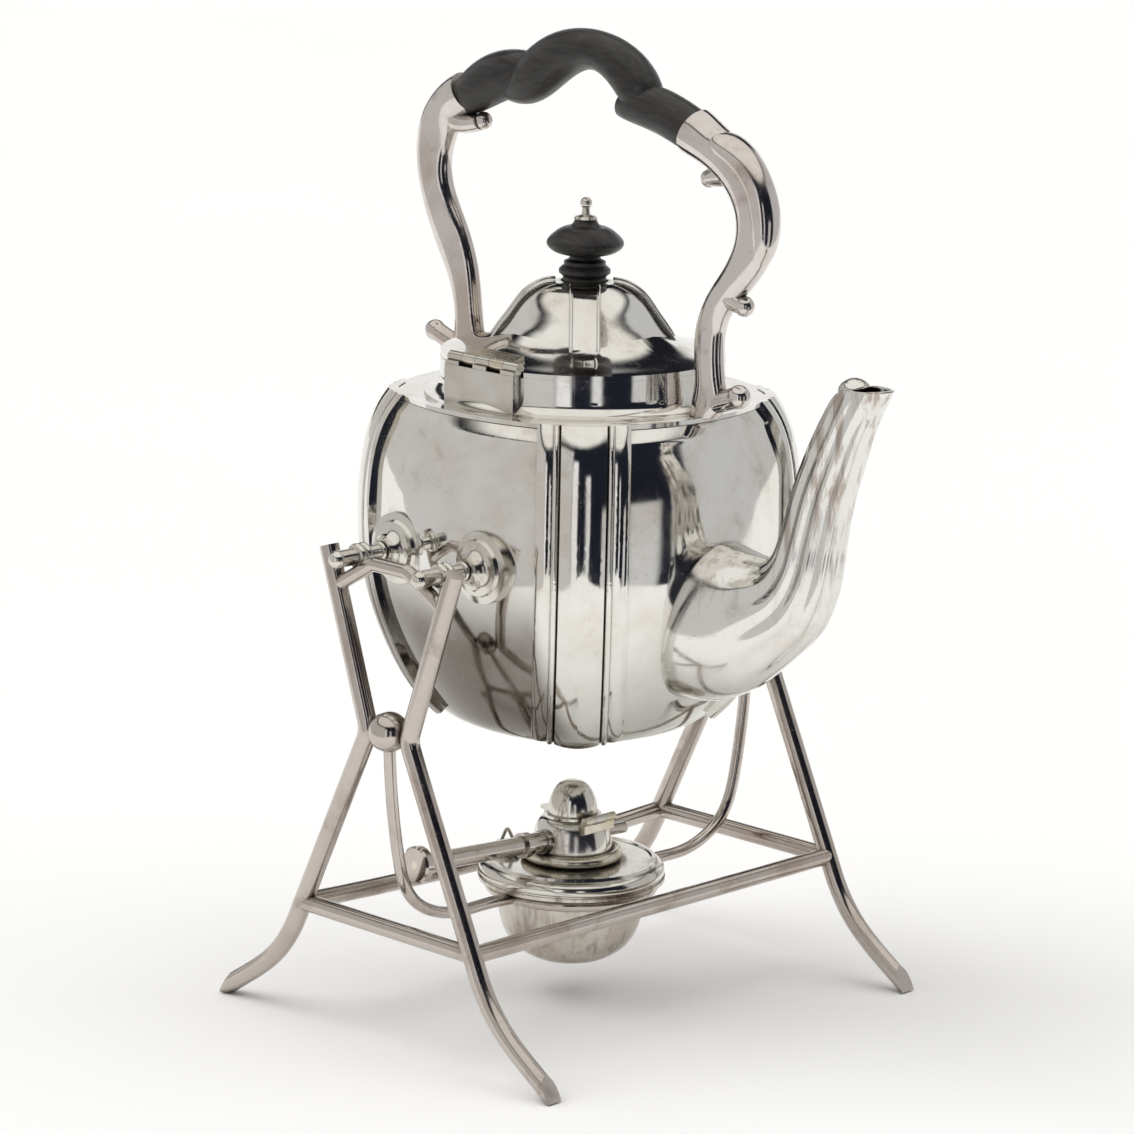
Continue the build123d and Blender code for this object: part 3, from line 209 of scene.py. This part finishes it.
def plated_metal(
    name, clean, bloom, stain, spread, rough, worn=0.0, dents=1.0, low=None, shade=None, streaks=0.0,
    run_heights=None,
):
    """Old silver plate or brass: clean metal under tarnish, hairlines, specks, soft dents and painted shade
    in the corners.

    low paints the table's greenish-grey reflection near the bottom of the body, shade paints shade on a
    patch of it, and streaks adds dark runs along Z, which come in between run_heights where that is given.
    """
    material, graph, surface, where = new_material(name)
    drift = graph.noise(where, *DRIFT)
    cloud = graph.noise(where, *CLOUD)
    speck = graph.noise(where, *SPECKS)
    hair_a = graph.noise(graph.stretched(where, RISING_HAIRS), *HAIRS)
    hair_b = graph.noise(graph.stretched(where, LEVEL_HAIRS), *HAIRS)
    drift_part = graph.math("MULTIPLY", drift, DRIFT_SHARE)
    both = graph.math("ADD", drift_part, graph.math("MULTIPLY", cloud, CLOUD_SHARE))
    bloom_here = graph.span(both, 0.60 - 0.24 * spread, 0.70 - 0.12 * spread, 0.0, 0.4 + 0.6 * spread)
    colour = graph.mix(bloom_here, clean, bloom)
    colour = graph.mix(graph.span(cloud, *STAIN_SPAN, 0.0, 0.5 * spread + 0.1), colour, stain)
    if low:
        height = graph.add("ShaderNodeSeparateXYZ")
        graph.feed(height.inputs[0], where)
        # painted reflection: the pale table's greenish grey, mixed in towards the bottom of the body
        table_reflection_here = graph.span(height.outputs["Z"], TABLE_REFLECTION_TOP, TABLE_REFLECTION_FOOT, 0.0, TABLE_REFLECTION_SHARE)
        colour = graph.mix(table_reflection_here, colour, low)
        if shade:
            # painted shade: a dark patch low on the hinge side
            colour = graph.mix(hinge_side_shade(graph, height, drift), colour, shade)
    if streaks:
        runs = graph.noise(graph.stretched(where, RUN_LINES), *RUNS)
        run_share = graph.span(runs, *RUN_SPAN, 0.0, streaks)
        if run_heights:
            run_height = graph.add("ShaderNodeSeparateXYZ")
            graph.feed(run_height.inputs[0], where)
            run_share = graph.math("MULTIPLY", run_share, graph.span(run_height.outputs["Z"], *run_heights))
        colour = graph.mix(run_share, colour, stain)
    colour = graph.mix(graph.span(speck, *SPECK_SPAN), colour, stain)
    # painted shade: the colour is darkened towards near black in corners and creases, from ambient occlusion
    corner = graph.add("ShaderNodeAmbientOcclusion", samples=4, only_local=False)
    corner.inputs["Distance"].default_value = CORNER_REACH
    corner_shade = graph.span(corner.outputs["AO"], *CORNER_SPAN, 0.0, CORNER_SHADE_SHARE)
    colour = graph.mix(corner_shade, colour, CORNER_SHADE)
    surface.inputs["Metallic"].default_value = 1.0
    graph.feed(surface.inputs["Base Color"], colour)
    base = graph.span(cloud, *ROUGH_SPAN, rough, rough + ROUGH_RANGE + worn)
    scratch = graph.span(graph.math("MAXIMUM", hair_a, hair_b), *HAIR_SPAN, 0.0, ROUGH_RANGE + worn)
    bare_rough = graph.math("ADD", base, scratch)
    all_rough = graph.math("ADD", bare_rough, graph.math("MULTIPLY", corner_shade, CORNER_ROUGHNESS), True)
    graph.feed(surface.inputs["Roughness"], all_rough)
    wave = graph.noise(where, *DENTS)
    height_map = graph.math("ADD", wave, graph.math("MULTIPLY", hair_a, HAIR_HEIGHT))
    bump = graph.add("ShaderNodeBump", in_Height=height_map)
    bump.inputs["Strength"].default_value = DENT_STRENGTH * dents
    bump.inputs["Distance"].default_value = DENT_HEIGHT
    graph.feed(surface.inputs["Normal"], bump.outputs[0])
    return material


WOOD_GRAIN = (90.0, 900.0, 500.0)
GRAIN_NOISE = (1.0, 4.0, 0.6, 0.6)
WOOD_WEAR = (60.0, 4.0, 0.6)
GRAIN_SPAN = (0.35, 0.7)
WEAR_SPAN = (0.62, 0.8, 0.0, 0.5)
WOOD_ROUGH_SPAN = (0.3, 0.8, 0.26, 0.48)
GRAIN_STRENGTH = 0.25
GRAIN_HEIGHT = 0.0004
WEAVE_SCALE = 420.0
WEAVE_DISTORTION = 1.5
WEAVE_HEIGHT = 0.0003
COTTON_ROUGHNESS = 0.95
BURNT_FOOT, BURNT_TOP = 0.0595, 0.0628     # the wick is scorched between these heights


def black_wood():
    """Ebonised hardwood with a rubbed satin finish and faint brown where it has worn."""
    material, graph, surface, where = new_material("ebonised_wood")
    grain = graph.noise(graph.stretched(where, WOOD_GRAIN), *GRAIN_NOISE)
    wear = graph.noise(where, *WOOD_WEAR)
    colour = graph.mix(graph.span(grain, *GRAIN_SPAN), rgb(0.010, 0.0095, 0.009), rgb(0.030, 0.027, 0.025))
    colour = graph.mix(graph.span(wear, *WEAR_SPAN), colour, rgb(0.075, 0.055, 0.042))
    graph.feed(surface.inputs["Base Color"], colour)
    graph.feed(surface.inputs["Roughness"], graph.span(wear, *WOOD_ROUGH_SPAN))
    bump = graph.add("ShaderNodeBump", in_Height=grain)
    bump.inputs["Strength"].default_value = GRAIN_STRENGTH
    bump.inputs["Distance"].default_value = GRAIN_HEIGHT
    graph.feed(surface.inputs["Normal"], bump.outputs[0])
    return material


def cotton():
    """Woven cotton wick, a little scorched at the top."""
    material, graph, surface, where = new_material("cotton_wick")
    split = graph.add("ShaderNodeSeparateXYZ")
    graph.feed(split.inputs[0], where)
    weave = graph.add("ShaderNodeTexWave", wave_type="BANDS", bands_direction="DIAGONAL")
    graph.feed(weave.inputs["Vector"], where)
    weave.inputs["Scale"].default_value = WEAVE_SCALE
    weave.inputs["Distortion"].default_value = WEAVE_DISTORTION
    colour = graph.mix(weave.outputs["Fac"], rgb(0.62, 0.57, 0.46), rgb(0.86, 0.83, 0.75))
    burnt = graph.span(split.outputs["Z"], BURNT_FOOT, BURNT_TOP)
    graph.feed(surface.inputs["Base Color"], graph.mix(burnt, colour, rgb(0.03, 0.025, 0.02)))
    surface.inputs["Roughness"].default_value = COTTON_ROUGHNESS
    bump = graph.add("ShaderNodeBump", in_Height=weave.outputs["Fac"])
    bump.inputs["Distance"].default_value = WEAVE_HEIGHT
    graph.feed(surface.inputs["Normal"], bump.outputs[0])
    return material


# clean metal, bloom, stain, share of bloom, roughness, wear
SILVER = plated_metal(
    "silver_plate", rgb(0.81, 0.80, 0.77), rgb(0.70, 0.66, 0.59), rgb(0.52, 0.48, 0.42), 0.68, 0.05,
    # low is the painted reflection of the table and shade is painted shade
    low=rgb(0.56, 0.57, 0.52), shade=rgb(0.19, 0.17, 0.15),
)
SPOUT_SILVER = plated_metal(
    "silver_plate_dull", rgb(0.80, 0.79, 0.76), rgb(0.68, 0.64, 0.58), rgb(0.40, 0.33, 0.28),
    0.35, 0.10, 0.04, streaks=0.85, run_heights=RUN_HEIGHTS,
)
TRIM_SILVER = plated_metal(
    "silver_plate_trim", rgb(0.72, 0.70, 0.65), rgb(0.58, 0.53, 0.45), rgb(0.40, 0.35, 0.28),
    0.7, 0.10, 0.04,
)
BRACKET_SILVER = plated_metal(
    "silver_plate_pink", rgb(0.70, 0.66, 0.63), rgb(0.54, 0.46, 0.41), rgb(0.36, 0.28, 0.24),
    0.75, 0.09, 0.05,
)
STAND_SILVER = plated_metal(
    "silver_plate_brown", rgb(0.56, 0.51, 0.47), rgb(0.42, 0.34, 0.29), rgb(0.25, 0.19, 0.15),
    0.55, 0.11, 0.02, dents=0.3,
)
BOWL_SILVER = plated_metal(
    "silver_plate_bowl", rgb(0.66, 0.62, 0.56), rgb(0.52, 0.46, 0.39), rgb(0.30, 0.25, 0.21),
    0.9, 0.15, 0.06, streaks=0.6,
)
BRASS = plated_metal(
    "worn_brass", rgb(0.74, 0.70, 0.60), rgb(0.62, 0.55, 0.40), rgb(0.38, 0.32, 0.24), 0.8, 0.18, 0.06,
)
WOOD = black_wood()
COTTON = cotton()

# the starts of the names that each finish covers; what none of them covers is SILVER
FINISHES = {
    "leg_": STAND_SILVER, "saddle_": STAND_SILVER, "frame_ball": STAND_SILVER, "cradle": STAND_SILVER,
    "stretcher": STAND_SILVER, "end_stretcher": STAND_SILVER, "spindle": STAND_SILVER,
    "handle_bracket": BRACKET_SILVER, "spout": SPOUT_SILVER, "burner_reservoir": BOWL_SILVER,
    "trunnion": TRIM_SILVER, "hinge_housing": TRIM_SILVER, "burner": TRIM_SILVER,
    "snuffer_cap": TRIM_SILVER, "wick_dome": TRIM_SILVER, "filler": TRIM_SILVER,
    "finial_stud": TRIM_SILVER,
    "hinge": BRASS, "burner_collar": BRASS, "wick_spindle": BRASS, "wick_tube": BRASS,
    "snuffer_hinge": BRASS, "filler_neck": BRASS,
    "handle_grip": WOOD, "finial_knob": WOOD, "wick": COTTON,
}


def finish_of(name):
    """The material whose key is the longest start of the node's name."""
    fits = [key for key in FINISHES if name.startswith(key)]
    return FINISHES[max(fits, key=len)] if fits else SILVER


def dress(piece, material):
    """Put one material on every slot of a piece."""
    piece.data.materials.clear()
    piece.data.materials.append(material)


# ---- finer pieces, in millimetres from the middle of the stand -----------------------------------
MM = 0.001
BODY_AXIS = 20.0              # each panel of the body is turned about an axis this far past the middle
BODY_SKIN = (                 # radius about that axis, and height
    (33.0, 95.6), (44.0, 101.5), (57.0, 123.0), (61.9, 137.0), (65.3, 158.0), (65.2, 174.0),
    (62.9, 190.0), (56.7, 203.5),
)
HIDDEN_DEPTH = 1.0            # what lies deeper than this in the body's wall is left out
# centre x, centre z, half height, half width, lean of the spout's line, share of the flutes' full depth
SPOUT_RINGS = (
    (50.0, 138.4, 26.6, 21.5, 90.0, 0.0),
    (64.0, 139.5, 26.2, 20.6, 88.0, 0.0),
    (75.0, 142.0, 22.8, 18.6, 80.0, 0.0),
    (86.0, 146.8, 17.6, 15.2, 68.0, 0.35),
    (94.6, 152.6, 14.0, 12.4, 50.0, 0.7),
    (99.9, 162.0, 11.6, 10.6, 28.0, 1.0),
    (102.7, 174.0, 10.5, 9.4, 13.0, 1.0),
    (106.0, 187.5, 9.9, 8.7, 17.0, 1.0),
    (111.0, 201.0, 9.3, 8.1, 22.0, 1.0),
    (116.5, 213.6, 8.4, 7.4, 28.0, 0.8),
)
FLUTES = 12
FLUTE_DEPTH = 0.065
SPOUT_WALL = 1.1
SPOUT_POINTS = 144
SPOUT_STEPS = 12
MOUTH_MIDDLE = (121.0, 223.3)
MOUTH_BACK, MOUTH_TIP, MOUTH_HALF = 8.9, 11.7, 6.9
MOUTH_BACK_DROP, MOUTH_TIP_RISE, LIP_POINT = 2.3, 0.9, 1.35
MOUTH_FLUTE_SHARE = 0.4
HOOD_MIDDLE = (117.1, 221.7)
HOOD_REACH, HOOD_HALF, HOOD_RISE, HOOD_WALL = 5.2, 5.4, 4.5, 0.7
HOOD_SWEEP, HOOD_HALF_TURN = 155.0, 88.0     # degrees over the roll and to each side
HOOD_ROWS, HOOD_STEPS = 16, 24
# radius and height of the rounded cushion round the burner's top, then its hidden back
CUSHION = (
    (30.75, 41.35), (31.05, 42.3), (31.15, 43.3), (30.95, 44.3), (30.4, 45.2), (29.5, 45.9),
    (28.7, 46.2), (28.3, 46.3), (28.1, 45.4), (29.4, 43.6), (30.3, 42.2),
)
CUSHION_TURNS = 128
SAME_PLACE = 1e-7


def place_of(x, y, z):
    """Scene point of a place given in millimetres from the middle of the stand."""
    return (x * MM + STAND_MIDDLE_X, y * MM, z * MM)


def skinned(name, rings, material, closed=True):
    """Mesh of quads through equal rings; closed joins each ring's last point to its first."""
    count = len(rings[0])
    points = [place_of(*point) for ring in rings for point in ring]
    faces = []
    for row in range(len(rings) - 1):
        for step in range(count if closed else count - 1):
            after = (step + 1) % count
            low, high = row * count, (row + 1) * count
            faces.append((low + step, low + after, high + after, high + step))
    mesh = bpy.data.meshes.new(name)
    mesh.from_pydata(points, [], faces)
    mesh.polygons.foreach_set("use_smooth", [True] * len(faces))
    piece = bpy.data.objects.new(name, mesh)
    bpy.context.collection.objects.link(piece)
    dress(piece, material)
    return piece


def spout_ring(number, inset):
    """One fluted oval across the spout, or the shaped lip of its mouth after the last of them."""
    ring = []
    for step in range(SPOUT_POINTS):
        turn = 2 * pi * step / SPOUT_POINTS
        flute = 0.0 if inset else FLUTE_DEPTH * cos(FLUTES * turn)
        if number < len(SPOUT_RINGS):
            x, z, half_h, half_w, lean, share = SPOUT_RINGS[number]
            swell = 1 + share * flute
            across = (half_w - inset) * swell * cos(turn)
            up = (half_h - inset) * swell * sin(turn)
            ring.append((x - up * cos(radians(lean)), across, z + up * sin(radians(lean))))
            continue
        back = sin(turn)
        swell = 1 + MOUTH_FLUTE_SHARE * flute
        reach = (MOUTH_BACK if back > 0 else MOUTH_TIP) - inset
        side_power = 1.0 if back > 0 else LIP_POINT
        across = (MOUTH_HALF - inset) * abs(cos(turn)) ** side_power * (1 if cos(turn) > 0 else -1)
        rise = -MOUTH_BACK_DROP * back**2 if back > 0 else MOUTH_TIP_RISE * back**2
        ring.append((MOUTH_MIDDLE[0] - reach * back, across * swell, MOUTH_MIDDLE[1] + rise))
    return ring


def smooth_rings(rings, steps):
    """Rings run smoothly through the given ones, the same number of steps in each span."""
    made = []
    for number in range(len(rings) - 1):
        before, first = rings[max(number - 1, 0)], rings[number]
        second, after = rings[number + 1], rings[min(number + 2, len(rings) - 1)]
        for step in range(steps if number < len(rings) - 2 else steps + 1):
            t = step / steps
            weights = (
                (-t + 2 * t * t - t**3) / 2,
                (2 - 5 * t * t + 3 * t**3) / 2,
                (t + 4 * t * t - 3 * t**3) / 2,
                (-t * t + t**3) / 2,
            )
            rows = zip(before, first, second, after)
            ring = [tuple(sum(w * p[i] for w, p in zip(weights, row)) for i in range(3)) for row in rows]
            made.append(ring)
    return made


def depth_in_body(x, y, z):
    """How deep a point lies inside the body's outer form; negative outside it."""
    if not BODY_SKIN[0][1] <= z <= BODY_SKIN[-1][1]:
        return -1.0
    for (low_r, low_z), (high_r, high_z) in zip(BODY_SKIN, BODY_SKIN[1:]):
        if low_z <= z <= high_z:
            reach = BODY_AXIS + low_r + (high_r - low_r) * (z - low_z) / (high_z - low_z)
    axes = ((0, BODY_AXIS), (0, -BODY_AXIS), (BODY_AXIS, 0), (-BODY_AXIS, 0))
    return min(reach - Vector((x - ax, y - ay)).length for ax, ay in axes)


def make_spout():
    """Fluted swan-neck spout with a pointed lip, less what lies hidden inside the body."""
    count = len(SPOUT_RINGS) + 1
    outside = smooth_rings([spout_ring(number, 0.0) for number in range(count)], SPOUT_STEPS)
    bore = smooth_rings([spout_ring(number, SPOUT_WALL) for number in range(count)], SPOUT_STEPS)
    rings = outside + bore[::-1]
    piece = skinned("spout_swan", rings, SPOUT_SILVER)
    depths = [depth_in_body(*point) for ring in rings for point in ring]
    shape = bmesh.new()
    shape.from_mesh(piece.data)
    shape.verts.ensure_lookup_table()
    hidden = [f for f in shape.faces if min(depths[v.index] for v in f.verts) > HIDDEN_DEPTH]
    bmesh.ops.delete(shape, geom=hidden, context="FACES")
    shape.to_mesh(piece.data)
    shape.free()
    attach(piece, "kettle")
    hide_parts("spout")


def hood_sheet(wall):
    """Rows of points over the hood, as far inside its outer skin as the wall says."""
    rows = []
    for row in range(HOOD_ROWS + 1):
        rise = radians(HOOD_SWEEP * row / HOOD_ROWS)
        line = []
        for step in range(HOOD_STEPS + 1):
            aside = radians(-HOOD_HALF_TURN + 2 * HOOD_HALF_TURN * step / HOOD_STEPS)
            line.append((
                HOOD_MIDDLE[0] - (HOOD_REACH - wall) * cos(rise) * cos(aside),
                (HOOD_HALF - wall) * sin(aside),
                HOOD_MIDDLE[1] + (HOOD_RISE - wall) * sin(rise) * cos(aside),
            ))
        rows.append(line)
    return rows


def make_hood():
    """Small rolled hood over the back of the spout's mouth."""
    rows = hood_sheet(0.0) + hood_sheet(HOOD_WALL)[::-1]
    hood = skinned("spout_hood", rows, SPOUT_SILVER, closed=False)
    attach(hood, "kettle")


def make_cushion():
    """Turned ring round the burner's top, about the middle of the stand."""
    rings = []
    for step in range(CUSHION_TURNS + 1):
        turn = 2 * pi * step / CUSHION_TURNS
        rings.append([(radius * cos(turn), radius * sin(turn), z) for radius, z in CUSHION])
    cushion = skinned("burner_cushion", rings, TRIM_SILVER)
    shape = bmesh.new()
    shape.from_mesh(cushion.data)
    bmesh.ops.remove_doubles(shape, verts=shape.verts, dist=SAME_PLACE)
    bmesh.ops.recalc_face_normals(shape, faces=shape.faces)
    shape.to_mesh(cushion.data)
    shape.free()
    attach(cushion, "burner")


# ---- studio -------------------------------------------------------------------------------------
TABLE_NEAR = 0.42
TABLE_FAR = 6.0
TABLE_DOWN = 0.0005
TABLE_GRAIN = (3.0, 3.0, 0.5)
TABLE_ROUGHNESS = 0.75
TABLE_SPECULAR = 0.2
LAMPS = (                     # name, place, spread in degrees, power
    ("key_light", (-0.9, -1.0, 1.6), 50.0, 1.1),
    ("fill_light", (1.2, 0.8, 1.8), 60.0, 0.6),
)
BACKDROP = rgb(0.95, 0.95, 0.95)
BLACK = rgb(0.012, 0.013, 0.018)
CEILING = rgb(0.95, 0.935, 0.90)
BACKDROP_TOP, CEILING_FOOT = (0.34, 0.40), (0.60, 0.72)
PANEL_SOFT = 0.03
# heading in degrees, half width, lowest and highest height, colour
ROOM = (
    (-129.0, 61.0, -1.0, 0.58, rgb(0.64, 0.63, 0.62)),
    (-20.0, 48.0, -1.0, 0.64, rgb(0.014, 0.016, 0.026)),
    (64.0, 36.0, -1.0, 0.60, rgb(0.60, 0.60, 0.60)),
    (-61.0, 6.0, -0.60, 0.46, rgb(0.95, 0.95, 0.97)),
    (-34.0, 4.0, -0.60, 0.30, rgb(0.80, 0.80, 0.80)),
    (3.0, 8.0, -0.60, 0.00, rgb(0.66, 0.66, 0.66)),
    (160.0, 7.0, -0.2, 0.40, rgb(0.03, 0.03, 0.035)),
)


def make_floor():
    """Pale table under the object; its near edges are out of view."""
    mesh = bpy.data.meshes.new("floor")
    near, far, down = TABLE_NEAR, TABLE_FAR, -TABLE_DOWN
    corners = [(-far, -near, down), (near, -near, down), (near, far, down), (-far, far, down)]
    mesh.from_pydata(corners, [], [(0, 1, 2, 3)])
    floor = bpy.data.objects.new("floor", mesh)
    bpy.context.collection.objects.link(floor)
    material, graph, surface, where = new_material("studio_floor")
    grain = graph.noise(where, *TABLE_GRAIN)
    graph.feed(surface.inputs["Base Color"], graph.mix(grain, rgb(0.93, 0.93, 0.93), rgb(0.96, 0.96, 0.96)))
    surface.inputs["Roughness"].default_value = TABLE_ROUGHNESS
    surface.inputs["Specular IOR Level"].default_value = TABLE_SPECULAR
    dress(floor, material)


def make_world():
    """White surroundings; what the metal reflects is a dim room with a few bright panels."""
    world = bpy.data.worlds.new("studio")
    bpy.context.scene.world = world
    world.use_nodes = True
    graph = Graph(world.node_tree)
    toward = graph.add("ShaderNodeTexCoord").outputs["Generated"]
    split = graph.add("ShaderNodeSeparateXYZ")
    graph.feed(split.inputs[0], toward)
    height = split.outputs["Z"]
    around = graph.math("ARCTAN2", split.outputs["Y"], split.outputs["X"])

    def panel(azimuth, half, low, high):
        """1 inside a patch of the surroundings, given by its heading in degrees and its heights."""
        soft = PANEL_SOFT
        turn = graph.math("SUBTRACT", around, radians(azimuth))
        turn = graph.math("WRAP", turn, pi)
        turn.node.inputs[2].default_value = -pi
        side = graph.span(graph.math("ABSOLUTE", turn), radians(half) + soft, radians(half) - soft)
        lower = graph.span(height, low - soft, low + soft)
        upper = graph.span(height, high + soft, high - soft)
        return graph.math("MULTIPLY", side, graph.math("MULTIPLY", lower, upper))

    room = graph.mix(graph.span(height, *BACKDROP_TOP), BACKDROP, BLACK)
    room = graph.mix(graph.span(height, *CEILING_FOOT), room, CEILING)
    for azimuth, half, low, high, colour in ROOM:
        room = graph.mix(panel(azimuth, half, low, high), room, colour)
    seen = graph.add("ShaderNodeLightPath").outputs["Is Camera Ray"]
    sky = graph.mix(seen, room, rgb(1.0, 1.0, 1.0))
    background = graph.add("ShaderNodeBackground", in_Color=sky, in_Strength=1.0)
    output = graph.add("ShaderNodeOutputWorld")
    graph.tree.links.new(background.outputs[0], output.inputs["Surface"])


def wide_lamp(name, place, spread, power):
    """Very wide soft lamp that shines from a direction onto the middle of the scene."""
    data = bpy.data.lights.new(name, "SUN")
    data.angle = radians(spread)
    data.energy = power
    lamp = bpy.data.objects.new(name, data)
    bpy.context.collection.objects.link(lamp)
    lamp.location = place
    lamp.rotation_euler = (-Vector(place)).to_track_quat("-Z", "Y").to_euler()
    lamp.visible_glossy = False


make_camera()
make_floor()
make_world()
for lamp in LAMPS:
    wide_lamp(*lamp)

bpy.context.scene.view_settings.view_transform = "Standard"

for name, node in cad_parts.items():
    dress(node, finish_of(name))
make_spout()
make_hood()
make_cushion()
